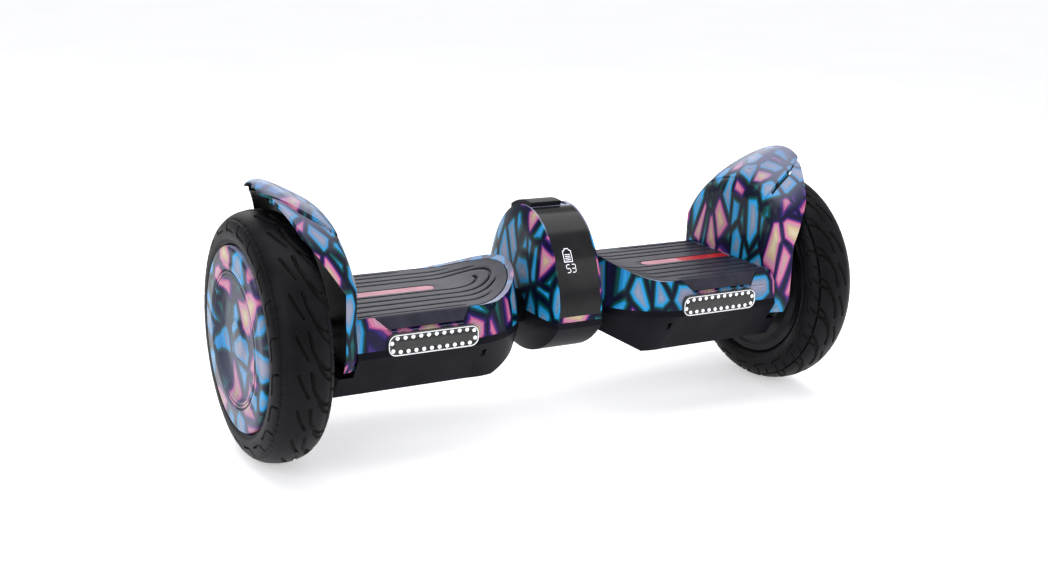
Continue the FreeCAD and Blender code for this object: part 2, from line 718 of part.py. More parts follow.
def charge_socket():
    """Round charging inlet with a flange on the outside and a blind bore."""
    barrel = rod(SOCKET_AT + REAR_OUT * -18, REAR_OUT, 8.0, 18.5)
    flange = rod(SOCKET_AT + REAR_OUT * 0.5, REAR_OUT, 11.0, 1.5)
    bore = rod(SOCKET_AT + REAR_OUT * -10, REAR_OUT, 6.0, 14.0)
    lugs = []
    for x in (-7.0, 7.0):
        ear = square_to_rear(SOCKET_AT + REAR_UP * 13 + Vector(x, 0, 0), 5.0, 2.4, 5.0, 4.5)
        lugs.append(ear)
    pad = square_to_rear(SOCKET_AT + REAR_UP * 12.5, 1.2, 17.0, 6.0, 0.7)
    hole = rod(hinge_point() + Vector(-12, 0, 0), Vector(1, 0, 0), 0.8, 24.0)
    return fused([barrel, flange, pad] + lugs).cut(bore).cut(hole)


def hinge_point():
    return SOCKET_AT + REAR_UP * 13 + REAR_OUT * 3.6


def charge_cap():
    """Rubber cap over the charging inlet, with its hinge knuckle."""
    disc = rod(SOCKET_AT + REAR_OUT * 2.4, REAR_OUT, 10.5, 2.4)
    arm = square_to_rear(SOCKET_AT + REAR_UP * 10.5, 4.8, 9.0, 5.0, 2.2)
    knuckle = rod(hinge_point() + Vector(-5.2, 0, 0), Vector(1, 0, 0), 1.2, 10.4)
    return fused([disc, arm, knuckle]).cut(rod(hinge_point() + Vector(-9, 0, 0), Vector(1, 0, 0), 0.85, 18))


def charge_cap_pin():
    """Hinge pin of the charge cap."""
    return rod(hinge_point() + Vector(-8.2, 0, 0), Vector(1, 0, 0), 0.8, 16.4)


def cable_path(points, radius):
    """Straight runs joined by tangent arcs of one radius."""
    edges = []
    start = points[0]
    for before, corner, after in zip(points, points[1:], points[2:]):
        to_before = (before - corner).normalize()
        to_after = (after - corner).normalize()
        half_angle = to_before.getAngle(to_after) / 2
        cut = radius / math.tan(half_angle)
        arc_in = corner + to_before * cut
        arc_out = corner + to_after * cut
        bisector = (to_before + to_after).normalize()
        middle = corner + bisector * (radius / math.sin(half_angle) - radius)
        edges.append(Part.makeLine(start, arc_in))
        edges.append(Part.Arc(arc_in, middle, arc_out).toShape())
        start = arc_out
    edges.append(Part.makeLine(start, points[-1]))
    return Part.Wire(edges)


def cable(points, r, bend):
    """Round cable along a path."""
    path = cable_path(points, bend)
    direction = (points[1] - points[0]).normalize()
    section = Part.Wire(Part.makeCircle(r, points[0], direction))
    return path.makePipeShell([section], True, False)


def main_harness():
    """Lead from the battery through the hollow pivot shaft to the +X half's connector."""
    route = [Vector(-150, 0, 117), Vector(-150, 0, 127), Vector(96, 0, 127)]
    lead = cable(route, 3.0, 6.0)
    plug = box((96, 108), (-7, 7), (AXLE_Z - 5, AXLE_Z + 5))
    return fused([lead, plug])


# ---- nodes ----
HALF_NODES = {
    "upper_cover": upper_cover,
    "fender": fender,
    "foot_pad": foot_pad,
    "strip_lens": strip_lens,
    "light_bar_lens": light_bar_lens,
    "light_bar_board": light_bar_board,
    "gyro_board": gyro_board,
    "axle_clamp": axle_clamp,
    "screws": half_screws,
    "tyre": tyre,
    "tyre_valve": tyre_valve,
    "wheel_rim": wheel_rim,
    "motor_cover": motor_cover,
    "rotor_screws": rotor_screws,
    "hub_cover": hub_cover,
    "wheel_bearings": wheel_bearings,
    "rotor_magnets": rotor_magnets,
    "stator": stator,
    "stator_coils": stator_coils,
    "axle": axle,
}

SINGLE_NODES = {
    "left_chassis": left_chassis,
    "right_chassis": right_chassis,
    "pivot_shaft": pivot_shaft,
    "pivot_bushes": pivot_bushes,
    "pivot_retaining_ring": pivot_retaining_ring,
    "ring_upper_shell": ring_upper_shell,
    "ring_lower_shell": ring_lower_shell,
    "display_window": display_window,
    "display_board": display_board,
    "carry_handle": carry_handle,
    "battery_pack": battery_pack,
    "main_board": main_board,
    "power_button": power_button_cap,
    "power_switch": power_switch,
    "charge_socket": charge_socket,
    "charge_cap": charge_cap,
    "charge_cap_pin": charge_cap_pin,
    "main_harness": main_harness,
}


def save(shape, node):
    shape.exportStep(f"parts/{node}.step")


def main():
    os.makedirs("parts", exist_ok=True)
    for node, make in HALF_NODES.items():
        shape = make()
        save(shape, "right_" + node)
        save(mirrored(shape), "left_" + node)
    for node, make in SINGLE_NODES.items():
        save(make(), node)
    cover = lower_cover()
    save(cover, "right_lower_cover")
    rear_holes = [
        rod(BUTTON_AT + REAR_OUT * -10, REAR_OUT, 6.8, 20),
        rod(SOCKET_AT + REAR_OUT * -20, REAR_OUT, 8.0, 30),
    ]
    save(mirrored(cover).cut(Part.Compound(rear_holes)), "left_lower_cover")


main()
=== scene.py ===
import json
import math

import bpy
import numpy as np
from mathutils import Matrix, Vector


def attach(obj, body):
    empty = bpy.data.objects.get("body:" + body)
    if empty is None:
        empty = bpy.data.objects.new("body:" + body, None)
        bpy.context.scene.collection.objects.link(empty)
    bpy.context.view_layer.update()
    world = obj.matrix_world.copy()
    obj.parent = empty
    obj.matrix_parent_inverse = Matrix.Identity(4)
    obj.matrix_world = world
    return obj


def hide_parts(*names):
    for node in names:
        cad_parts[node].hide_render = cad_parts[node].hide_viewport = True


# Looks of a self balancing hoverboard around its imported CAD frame.
# Metres in Blender; the shape tables below are in millimetres. +X runs along the wheel axle,
# +Z is up, the light bars and the display face -Y. Half pieces are written for the +X half.
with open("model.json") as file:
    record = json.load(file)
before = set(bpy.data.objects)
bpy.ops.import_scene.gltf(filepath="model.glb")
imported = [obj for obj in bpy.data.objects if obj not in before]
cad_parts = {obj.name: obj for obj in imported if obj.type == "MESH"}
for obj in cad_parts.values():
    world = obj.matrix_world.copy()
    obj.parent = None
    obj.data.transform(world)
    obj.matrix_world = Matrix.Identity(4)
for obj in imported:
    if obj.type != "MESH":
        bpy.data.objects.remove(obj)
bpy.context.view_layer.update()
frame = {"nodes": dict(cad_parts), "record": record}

MM = 0.001
SIDES = {"left": -1.0, "right": 1.0}
SOFT_EDGE = 0.8           # rounding of the moulded edges

# ---- camera and studio ----
CAMERA_AT = Vector((-0.7209, -1.2132, 0.5328))
CAMERA_AIM = Vector((-0.0683, -0.0763, 0.1731))
CAMERA_ROLL = math.radians(2.0476)
CAMERA_LENS = 45.30
FLOOR_REACH = 60.0

# ---- wheel ----
AXLE_Z = 127.0
WHEEL_X = 319.4
HAIRS = 17                # moulding hairs in each ring of them
PITCHES = 21              # tread pitches round the tyre
PITCH = 38.0              # length of one at the crown
AROUND = 40               # points along one pitch
ACROSS = 140              # points from bead to bead
TYRE_SIDE = (             # half section from the crown to the bead: distance from mid plane, radius
    (0.0, 127.0), (6.0, 126.7), (17.0, 124.0), (26.0, 117.5), (29.8, 110.0),
    (30.5, 103.0), (28.5, 96.0), (22.5, 91.3), (22.0, 86.0),
)
# Tread grooves: line as (along the pitch, across from the crown), half width, depth.
# Positive across is outboard on the -X wheel; the along direction runs down the wheel's front.
TREAD = (
    (((25, 39), (8, 39), (3, 37.8), (0.8, 35), (0, 30)), 0.9, 1.8),
    (((0, 27), (38, 27)), 0.6, 1.2),
    (((9, 25.2), (9, 28.8)), 0.6, 1.0),
    (((20, 25.2), (20, 28.8)), 0.6, 1.0),
    (((29, 25.2), (29, 28.8)), 0.6, 1.0),
    (((0, 11), (12, 7), (24, 1)), 1.2, 2.0),
    (((-1, -1.5), (14, -3.5), (26, -8.5), (35, -16), (38, -24)), 1.4, 2.2),
    (((21, -7), (33, -10.5), (43, -16.5), (49, -24)), 1.2, 2.0),
    (((0, -24), (38, -24)), 0.8, 1.6),
    (((3, -25), (8, -34)), 1.1, 1.7),
    (((20, -25), (25, -32)), 0.9, 1.4),
    (((24, -39), (7, -39), (2, -36)), 0.9, 1.5),
)
HUB_PROFILE = (           # wheel cover: distance from its outer face, radius
    (-8.2, 91.0), (-6.5, 93.5), (-3.0, 93.5), (-1.4, 92.4), (-0.7, 90.2), (-0.5, 87.5),
    (-0.5, 77.6), (-0.1, 76.4), (0.3, 75.2), (0.3, 71.2), (0.0, 70.2), (-1.7, 69.4),
    (-1.7, 68.6), (0.1, 67.9), (0.4, 67.0), (0.1, 66.1), (-0.9, 65.5), (-0.9, 64.9),
    (-0.3, 64.3), (-0.6, 63.0), (-4.9, 60.2), (-6.1, 57.0), (-6.4, 52.0), (-6.4, 24.0),
    (-6.0, 21.0), (-4.2, 18.6), (-3.6, 16.5), (-3.2, 10.0), (-3.0, 0.4), (-5.0, 0.4),
    (-8.2, 14.0),
)
HUB_FACE = 33.2           # outer face of the wheel cover, from the tyre's mid plane
HUB_STEPS = 120           # points round the wheel cover
HUB_SHADE_RING = (64.0, 70.0, -0.8)   # ring of painted shade in the channels: inner and outer radius, and how deep it starts
RIB_RING = 49.0           # fine ribs beside the tread: distance from the crown along the section
RIBS = 8                  # ribs in one pitch

# ---- foot pad ----
DECK_Z = 158.0
HUMP_Z = 192.0
FLAT_END = 120.0          # inboard of this the deck rises
BODY_IN = 43.0
PAD_END = 256.2           # outboard end of the pad
PAD_SLOT = 8.1            # half width of the slot round the light strip
PAD_EDGE = 77.5           # half depth of the pad
PAD_SHIFT = 3.0           # the slot's middle line lies this far back
PAD_THICK = 4.0
PAD_DENSE = 15.0          # lines lie closer together from the slot out to here
PAD_TURNS = (             # distance from the slot's middle line, x where the line turns, x of its tip
    (8.1, 141.0, 132.9), (10.5, 126.0, 108.0), (14.0, 102.0, 84.0), (21.0, 100.0, 75.0),
    (29.0, 104.0, 69.5), (43.0, 114.0, 63.3), (58.0, 124.0, 59.2), (77.5, 135.9, 57.0),
)
# Pad grooves: distance from the middle line, and the parts of the turn without a groove, in
# degrees from the tip: positive towards the rear, beyond 90 on the straight runs.
PAD_GROOVES = (
    (14.0, (22.0, 900.0)),
    (29.0, None),
    (43.0, (-34.0, 34.0)),
    (58.0, (-58.0, 60.0)),
    (71.0, (-88.0, 100.0)),
)

# Tab over the deck's front edge: section as (y, z), then where its ends lie and how far each end
# moves inwards from its top to its foot.
TAB_SECTION = (
    (-72.5, 158.0), (-76.6, 158.1), (-77.9, 157.5), (-78.9, 156.3), (-85.2, 147.5),
    (-85.6, 146.8), (-85.2, 146.3), (-84.2, 146.5), (-78.2, 154.6), (-72.5, 154.8),
)
TAB_ENDS = (130.4, 236.6)
TAB_SLANT = (20.0, 22.5)
TAB_TOP_Y = -76.5
TAB_DROP = 15.5
STRIP_RED_X = 186.0       # outboard of this the light strip is red

# ---- light bar ----
BAR_X = (126.8, 226.6)
BAR_Z = 131.0
BAR_HALF_Z = 11.5
BAR_DOTS = 24
BAR_CORNER = 9.0
LAMP_INSET = 4.4
LAMP_BASE_Y = -90.7
LAMP_STEPS = 14           # points round one lamp

# ---- display ----
RING_DEPTH = 80.0
RING_TOP = 239.0
DIGIT_Z = 179.2
BATTERY = (               # outline of the battery sign
    (-14.2, 189.8), (-4.3, 189.8), (-4.3, 200.2), (-6.2, 200.8), (-7.2, 202.4), (-11.3, 202.4),
    (-12.3, 200.8), (-14.2, 200.2),
)
DIGITS = ((-13.0, "afgcd"), (-6.6, "abgcd"))   # left edge, lit segments
SEGMENTS = {              # ends of each segment, from the digit's lower left corner
    "a": ((1.0, 7.8), (3.6, 7.8)),
    "b": ((4.6, 7.0), (4.6, 4.7)),
    "c": ((4.6, 3.1), (4.6, 0.8)),
    "d": ((1.0, 0.0), (3.6, 0.0)),
    "f": ((0.0, 7.0), (0.0, 4.7)),
    "g": ((1.0, 3.9), (3.6, 3.9)),
}


def make_camera():
    """Camera aimed along one line and rolled a little about it."""
    data = bpy.data.cameras.new("camera")
    data.lens = CAMERA_LENS
    data.sensor_width = 36.0
    camera = bpy.data.objects.new("camera", data)
    bpy.context.scene.collection.objects.link(camera)
    ahead = (CAMERA_AIM - CAMERA_AT).normalized()
    turn = ahead.to_track_quat("-Z", "Y").to_matrix()
    roll = Matrix.Rotation(CAMERA_ROLL, 3, "Z")
    camera.matrix_world = Matrix.Translation(CAMERA_AT) @ (turn @ roll).to_4x4()
    bpy.context.scene.camera = camera


def softbox(name, at, aim, size, power):
    """Rectangular area light aimed at a point."""
    data = bpy.data.lights.new(name, "AREA")
    data.shape = "RECTANGLE"
    data.size = size[0]
    data.size_y = size[1]
    data.energy = power
    light = bpy.data.objects.new(name, data)
    light.location = at
    light.rotation_mode = "QUATERNION"
    light.rotation_quaternion = (Vector(aim) - Vector(at)).to_track_quat("-Z", "Y")
    bpy.context.scene.collection.objects.link(light)


def make_studio(floor_material):
    """Plain pale floor, pale surroundings and four soft lights."""
    world = bpy.data.worlds.new("studio")
    world.use_nodes = True
    background = world.node_tree.nodes["Background"]
    background.inputs["Color"].default_value = (0.97, 0.98, 1.0, 1.0)
    background.inputs["Strength"].default_value = 0.58
    bpy.context.scene.world = world
    bpy.context.scene.view_settings.view_transform = "Standard"
    softbox("top_light", (0.0, 0.1, 1.7), (0, 0, 0.1), (2.2, 1.2), 19)
    softbox("key_light", (-1.6, -1.3, 1.3), (0, 0, 0.15), (1.0, 1.4), 15)
    softbox("fill_light", (1.5, -1.6, 0.9), (0.1, 0, 0.15), (1.0, 1.0), 5)
    softbox("rim_light", (0.4, 1.8, 1.1), (0, 0, 0.15), (2.0, 0.8), 12)
    floor = bpy.data.meshes.new("floor")
    reach = FLOOR_REACH
    corners = [(-reach, -reach, 0), (reach, -reach, 0), (reach, reach, 0), (-reach, reach, 0)]
    floor.from_pydata(corners, [], [(0, 1, 2, 3)])
    plane = bpy.data.objects.new("floor", floor)
    bpy.context.scene.collection.objects.link(plane)
    floor.materials.append(floor_material)


# ---- materials ----
class Graph:
    """Short way to build a node material around one Principled shader."""

    def __init__(self, name):
        self.material = bpy.data.materials.new(name)
        self.material.use_nodes = True
        self.nodes = self.material.node_tree.nodes
        self.links = self.material.node_tree.links
        self.shader = self.nodes["Principled BSDF"]

    def node(self, kind, **values):
        """New node; values go to its properties, or to its inputs by name."""
        made = self.nodes.new(kind)
        for key, value in values.items():
            if key in made.bl_rna.properties:
                setattr(made, key, value)
            else:
                made.inputs[key.replace("_", " ")].default_value = value
        return made

    def join(self, source, target):
        self.links.new(source, target)

    def math(self, operation, a, b=0.0):
        """Math node on two values, each a number or a socket."""
        made = self.nodes.new("ShaderNodeMath")
        made.operation = operation
        for socket, value in zip(made.inputs, (a, b)):
            if isinstance(value, (int, float)):
                socket.default_value = value
            else:
                self.join(value, socket)
        return made.outputs[0]

    def ramp(self, factor, stops):
        """Colour ramp with (position, colour) stops."""
        made = self.nodes.new("ShaderNodeValToRGB")
        elements = made.color_ramp.elements
        while len(elements) < len(stops):
            elements.new(0.5)
        for element, (position, colour) in zip(elements, stops):
            element.position = position
            element.color = (*colour, 1.0)
        self.join(factor, made.inputs["Fac"])
        return made.outputs["Color"]

    def mix(self, factor, a, b):
        """Colour mix; the factor is a number or a socket, the colours are sockets or RGB."""
        made = self.nodes.new("ShaderNodeMix")
        made.data_type = "RGBA"
        for socket, value in zip((made.inputs[0], made.inputs[6], made.inputs[7]), (factor, a, b)):
            if isinstance(value, (int, float)):
                socket.default_value = value
            elif isinstance(value, tuple):
                socket.default_value = (*value, 1.0)
            else:
                self.join(value, socket)
        return made.outputs[2]

    def place(self, scale=(1, 1, 1)):
        """Position in the object's own frame, scaled."""
        where = self.nodes.new("ShaderNodeTexCoord")
        mapping = self.nodes.new("ShaderNodeMapping")
        mapping.inputs["Scale"].default_value = scale
        self.join(where.outputs["Object"], mapping.inputs["Vector"])
        return mapping.outputs["Vector"]

    def noise(self, scale, detail=3.0):
        """Noise value over the object."""
        made = self.nodes.new("ShaderNodeTexNoise")
        made.inputs["Scale"].default_value = scale
        made.inputs["Detail"].default_value = detail
        self.join(self.place(), made.inputs["Vector"])
        return made.outputs["Fac"]

    def grain(self, scale, strength, depth):
        """Fine bump on the shader's normal."""
        bump = self.nodes.new("ShaderNodeBump")
        bump.inputs["Strength"].default_value = strength
        bump.inputs["Distance"].default_value = depth
        self.join(self.noise(scale), bump.inputs["Height"])
        self.join(bump.outputs["Normal"], self.shader.inputs["Normal"])

    def colour(self, socket):
        self.join(socket, self.shader.inputs["Base Color"])

    def surface(self, **values):
        """Constants on the shader's own inputs."""
        for key, value in values.items():
            self.shader.inputs[key.replace("_", " ")].default_value = value


def mottled(name, dark, light, scale, roughness, **surface):
    """Finish with a faint two-tone mottle and a fine grain."""
    graph = Graph(name)
    spread = graph.ramp(graph.noise(scale), [(0.35, dark), (0.65, light)])
    graph.colour(spread)
    graph.grain(900, 0.15, 0.0002)
    graph.surface(Roughness=roughness, **surface)
    return graph.material


# Bands of a printed shard from its outline to its middle: distance, colour.
COOL_BANDS = (
    (0.000, (0.001, 0.002, 0.010)),
    (0.055, (0.001, 0.006, 0.024)),
    (0.075, (0.001, 0.035, 0.030)),
    (0.110, (0.002, 0.075, 0.060)),
    (0.130, (0.003, 0.110, 0.170)),
    (0.145, (0.010, 0.240, 0.560)),
    (0.215, (0.030, 0.330, 0.680)),
    (0.250, (0.120, 0.260, 0.420)),
    (0.400, (0.280, 0.290, 0.400)),
)
WARM_BANDS = (
    (0.000, (0.003, 0.002, 0.018)),
    (0.060, (0.008, 0.004, 0.050)),
    (0.085, (0.030, 0.014, 0.150)),
    (0.115, (0.090, 0.020, 0.160)),
    (0.135, (0.420, 0.070, 0.230)),
    (0.200, (0.620, 0.230, 0.330)),
    (0.240, (0.480, 0.240, 0.370)),
    (0.310, (0.540, 0.380, 0.230)),
    (0.440, (0.600, 0.520, 0.360)),
)
WARM_ABOVE = 0.68         # cells whose random tint lies above this are warm
LINE_PITCH = 130.0        # how closely the fine lines follow each other


def shard_cells(graph, scale, stretch):
    """Straight-edged cells: the distance in from each one's outline, and its random values."""
    place = graph.place(tuple(scale * s for s in stretch))
    edge = graph.node("ShaderNodeTexVoronoi", feature="DISTANCE_TO_EDGE", Scale=1.0)
    cell = graph.node("ShaderNodeTexVoronoi", feature="F1", Scale=1.0)
    graph.join(place, edge.inputs["Vector"])
    graph.join(place, cell.inputs["Vector"])
    split = graph.node("ShaderNodeSeparateColor")
    graph.join(cell.outputs["Color"], split.inputs["Color"])
    tint, lines, size = split.outputs
    squeeze = graph.math("ADD", 0.75, graph.math("MULTIPLY", size, 0.6))
    return graph.math("MULTIPLY", edge.outputs["Distance"], squeeze), tint, lines


def shard_colour(graph, depth, tint, lines):
    """Cool bands in most cells and warm ones in the rest, with fine dark lines in some."""
    cool = graph.ramp(depth, COOL_BANDS)
    warm = graph.ramp(depth, WARM_BANDS)
    banded = graph.mix(graph.math("GREATER_THAN", tint, WARM_ABOVE), cool, warm)
    ripple = graph.math("SINE", graph.math("MULTIPLY", depth, LINE_PITCH))
    line = graph.math("GREATER_THAN", ripple, 0.90)
    lined = graph.math("MULTIPLY", line, graph.math("GREATER_THAN", lines, 0.45))
    return graph.mix(graph.math("MULTIPLY", lined, 0.7), banded, (0.010, 0.010, 0.04))


def painted_sheen(graph, sheen_level):
    """Painted sheen on the film: pale lilac in soft patches, and on surfaces that face up, where the
    lights would reflect.
    """
    sheen = graph.ramp(graph.noise(7.0, 1.0), [(0.45, (0, 0, 0)), (0.72, (1, 1, 1))])
    where = graph.node("ShaderNodeTexCoord")
    normal = graph.node("ShaderNodeSeparateXYZ")
    graph.join(where.outputs["Normal"], normal.inputs[0])
    upward = graph.ramp(normal.outputs[2], [(0.60, (0, 0, 0)), (0.97, (1, 1, 1))])
    patches = graph.math("MULTIPLY", sheen, sheen_level)
    return graph.math("MAXIMUM", patches, graph.math("MULTIPLY", upward, 0.72))


def shard_print(name, scale, stretch, sheen_level=0.06, black_where=None):
    """Glossy film print of broken crystal under a painted sheen; black_where gives the parts that are
    black: the fenders' insides, left black, and painted shade in the wheel cover's channels.
    """
    graph = Graph(name)
    print_colour = shard_colour(graph, *shard_cells(graph, scale, stretch))
    # painted sheen: pale lilac laid over the print where the lights would reflect
    print_colour = graph.mix(painted_sheen(graph, sheen_level), print_colour, (0.30, 0.31, 0.44))
    if black_where:
        print_colour = graph.mix(black_where(graph), print_colour, (0.006, 0.006, 0.008))
    graph.colour(print_colour)
    graph.surface(Roughness=0.32, Specular_IOR_Level=0.06)
    graph.surface(Coat_Weight=0.14, Coat_Roughness=0.08)
    return graph.material


def groove_shade_mask(graph):
    """How deep in a groove each point lies, from the mesh's own values; it sets the painted shade in
    grooves.
    """
    return graph.node("ShaderNodeAttribute", attribute_name="groove").outputs["Fac"]


def faces_wheel(graph):
    """1 on surfaces that face the wheel's centre, from the object's own position and normal."""
    where = graph.node("ShaderNodeTexCoord")
    side = graph.node("ShaderNodeSeparateXYZ")
    graph.join(where.outputs["Object"], side.inputs[0])
    sign = graph.math("SIGN", side.outputs[0])
    centre = graph.node("ShaderNodeCombineXYZ")
    graph.join(graph.math("MULTIPLY", sign, WHEEL_X * MM), centre.inputs[0])
    centre.inputs[2].default_value = AXLE_Z * MM
    to_centre = graph.node("ShaderNodeVectorMath", operation="SUBTRACT")
    graph.join(centre.outputs[0], to_centre.inputs[0])
    graph.join(where.outputs["Object"], to_centre.inputs[1])
    facing = graph.node("ShaderNodeVectorMath", operation="DOT_PRODUCT")
    graph.join(to_centre.outputs[0], facing.inputs[0])
    graph.join(where.outputs["Normal"], facing.inputs[1])
    return graph.math("GREATER_THAN", facing.outputs["Value"], 0.0)


def tread_rubber():
    """Tyre rubber: faintly mottled on its ribs, with painted shade that makes the bottom of its
    grooves blacker.
    """
    graph = Graph("tyre_rubber")
    rib = graph.ramp(graph.noise(45.0), [(0.35, (0.004, 0.004, 0.005)), (0.65, (0.007, 0.007, 0.009))])
    # painted shade: near black at the bottom of the tread grooves
    graph.colour(graph.mix(groove_shade_mask(graph), rib, (0.001, 0.001, 0.001)))
    graph.grain(700, 0.2, 0.0003)
    graph.surface(Roughness=0.45, Specular_IOR_Level=0.09)
    return graph.material


def ridge_rubber():
    """Pad rubber: grey with a soft sheen on the ridges, and painted shade that makes the grooves near
    black.
    """
    graph = Graph("pad_rubber")
    tones = [(0.35, (0.022, 0.022, 0.034)), (0.65, (0.032, 0.031, 0.046))]
    ridge = graph.ramp(graph.noise(60.0), tones)
    # painted shade: near black in the pad's grooves
    graph.colour(graph.mix(groove_shade_mask(graph), ridge, (0.001, 0.001, 0.002)))
    graph.grain(1200, 0.12, 0.0002)
    graph.surface(Roughness=0.40, Specular_IOR_Level=0.14)
    return graph.material


def strip_lens():
    """Light strip: red outer half, milky pink inner half where the light comes through."""
    graph = Graph("strip_lens")
    where = graph.node("ShaderNodeTexCoord")
    split = graph.node("ShaderNodeSeparateXYZ")
    graph.join(where.outputs["Object"], split.inputs[0])
    pink = graph.ramp(graph.noise(70.0), [(0.3, (0.40, 0.15, 0.20)), (0.7, (0.50, 0.21, 0.27))])
    red = graph.ramp(graph.noise(70.0), [(0.3, (0.36, 0.010, 0.012)), (0.7, (0.48, 0.014, 0.015))])
    graph.colour(graph.mix(graph.math("GREATER_THAN", split.outputs[0], STRIP_RED_X * MM), pink, red))
    graph.surface(Roughness=0.35, Specular_IOR_Level=0.2)
    return graph.material


def glowing(name, colour, strength):
    """Lit surface with a slightly uneven glow."""
    graph = Graph(name)
    tone = graph.ramp(graph.noise(40.0), [(0.3, tuple(0.9 * c for c in colour)), (0.7, colour)])
    graph.colour(tone)
    graph.join(tone, graph.shader.inputs["Emission Color"])
    graph.surface(Emission_Strength=strength, Roughness=0.4)
    return graph.material


def pale_floor():
    """Near white floor that also gives off a little light, so that it stays pale to its far edge."""
    graph = Graph("studio_floor")
    tone = graph.ramp(graph.noise(2.0), [(0.35, (0.88, 0.88, 0.89)), (0.65, (0.90, 0.90, 0.91))])
    graph.colour(tone)
    graph.join(tone, graph.shader.inputs["Emission Color"])
    graph.surface(Emission_Strength=0.52, Roughness=0.7, Specular_IOR_Level=0.1)
    return graph.material


def metal(name, dark, light, roughness):
    """Bare or plated metal."""
    return mottled(name, dark, light, 200, roughness, Metallic=1.0)


def dull(name, dark, light, scale, roughness, shine):
    """Plastic or rubber with a weak mirror shine."""
    return mottled(name, dark, light, scale, roughness, Specular_IOR_Level=shine)


GREY_LENS = ((0.030, 0.031, 0.030), (0.040, 0.041, 0.040))
BLACK_PLASTIC = ((0.005, 0.005, 0.008), (0.008, 0.008, 0.012))
BLACK_PAINT = ((0.006, 0.006, 0.008), (0.010, 0.010, 0.012))
SMOKED = ((0.010, 0.010, 0.011), (0.014, 0.014, 0.015))
FENDER_GRAIN = (1.0, 1.0, 0.42)
HUB_GRAIN = (0.6, 1.0, 1.0)

MATERIALS = {
    "floor": pale_floor(),
    "printed_shell": shard_print("shard_print", 40.0, (1.0, 1.0, 0.62)),
    "fender_print": shard_print("fender_print", 50.0, FENDER_GRAIN, black_where=faces_wheel),
    # the wheel cover takes more painted sheen, and painted shade in its channels
    "hub_print": shard_print("hub_print", 30.0, HUB_GRAIN, sheen_level=0.3, black_where=groove_shade_mask),
    "black_shell": dull("black_shell", *BLACK_PLASTIC, 30, 0.40, 0.05),
    "pad_rubber": ridge_rubber(),
    "tyre": tread_rubber(),
    "red_lens": strip_lens(),
    "clear_lens": dull("clear_lens", *GREY_LENS, 90, 0.3, 0.3),
    "light_emitter": glowing("light_emitter", (0.90, 0.89, 0.97), 0.55),
    "lit_line": glowing("lit_line", (0.72, 0.73, 0.76), 0.40),
    "smoked_window": dull("smoked_window", *SMOKED, 50, 0.16, 0.2),
    "circuit_board": mottled("circuit_board", (0.01, 0.08, 0.04), (0.02, 0.12, 0.06), 200, 0.4),
    "cast_aluminium": metal("cast_aluminium", (0.45, 0.46, 0.48), (0.55, 0.56, 0.58), 0.45),
    "black_rim": dull("black_rim", *BLACK_PAINT, 60, 0.36, 0.12),
    "brass_fitting": metal("brass_fitting", (0.60, 0.42, 0.16), (0.70, 0.50, 0.22), 0.3),
    "dark_steel": metal("dark_steel", (0.010, 0.010, 0.012), (0.016, 0.016, 0.018), 0.45),
    "steel": metal("steel", (0.42, 0.42, 0.44), (0.55, 0.55, 0.57), 0.35),
    "magnet": metal("magnet", (0.38, 0.38, 0.40), (0.48, 0.48, 0.50), 0.3),
    "stator_steel": metal("stator_steel", (0.20, 0.20, 0.22), (0.30, 0.30, 0.32), 0.5),
    "copper_wire": metal("copper_wire", (0.60, 0.22, 0.10), (0.75, 0.32, 0.16), 0.35),
    "battery_wrap": mottled("battery_wrap", (0.02, 0.06, 0.30), (0.03, 0.08, 0.36), 90, 0.35),
}
FINISHES = {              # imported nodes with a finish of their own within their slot
    "left_fender": "fender_print",
    "right_fender": "fender_print",
    "pivot_shaft": "dark_steel",
}


def dress_cad_nodes():
    """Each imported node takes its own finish, or else the procedural material of its slot."""
    slots = {}
    for piece in frame["record"]["subparts"]:
        slots[piece["node"]] = piece["material_slot"]
    for name, node in frame["nodes"].items():
        node.data.materials.clear()
        node.data.materials.append(MATERIALS[FINISHES.get(name, slots[name])])


def soften(names):
    """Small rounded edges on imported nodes."""
    for name in names:
        node = frame["nodes"][name]
        bevel = node.modifiers.new("soft_edges", "BEVEL")
        bevel.width = SOFT_EDGE * MM
        bevel.segments = 3
        bevel.limit_method = "ANGLE"
        bevel.angle_limit = math.radians(30.0)
        bevel.harden_normals = True


# ---- mesh helpers ----
def smooth_line(points, steps):
    """Catmull-Rom curve through a few points."""
    p = np.array(points, dtype=float)
    p = np.vstack([2 * p[0] - p[1], p, 2 * p[-1] - p[-2]])
    t = np.linspace(0, 1, steps, endpoint=False)[:, None]
    runs = []
    for a, b, c, d in zip(p, p[1:], p[2:], p[3:]):
        square = 2 * a - 5 * b + 4 * c - d
        cube = 3 * b - a - 3 * c + d
        runs.append(0.5 * (2 * b + (c - a) * t + square * t**2 + cube * t**3))
    runs.append(p[-2:-1])
    return np.vstack(runs)


def evenly(line, count):
    """The same line with evenly spaced points, and each point's distance along it."""
    steps = np.linalg.norm(np.diff(line, axis=0), axis=1)
    along = np.concatenate([[0.0], np.cumsum(steps)])
    want = np.linspace(0, along[-1], count)
    spread = np.stack([np.interp(want, along, line[:, i]) for i in range(line.shape[1])], axis=1)
    return spread, want


def grid_faces(rows, columns, wrap_rows=False, wrap_columns=False):
    """Quads over a grid of points that are numbered row by row."""
    r, c = np.meshgrid(
        np.arange(rows if wrap_rows else rows - 1),
        np.arange(columns if wrap_columns else columns - 1),
        indexing="ij",
    )
    here = r * columns
    below = (r + 1) % rows * columns
    beside = (c + 1) % columns
    quads = np.stack([here + c, here + beside, below + beside, below + c], axis=-1)
    return quads.reshape(-1, 4).tolist()


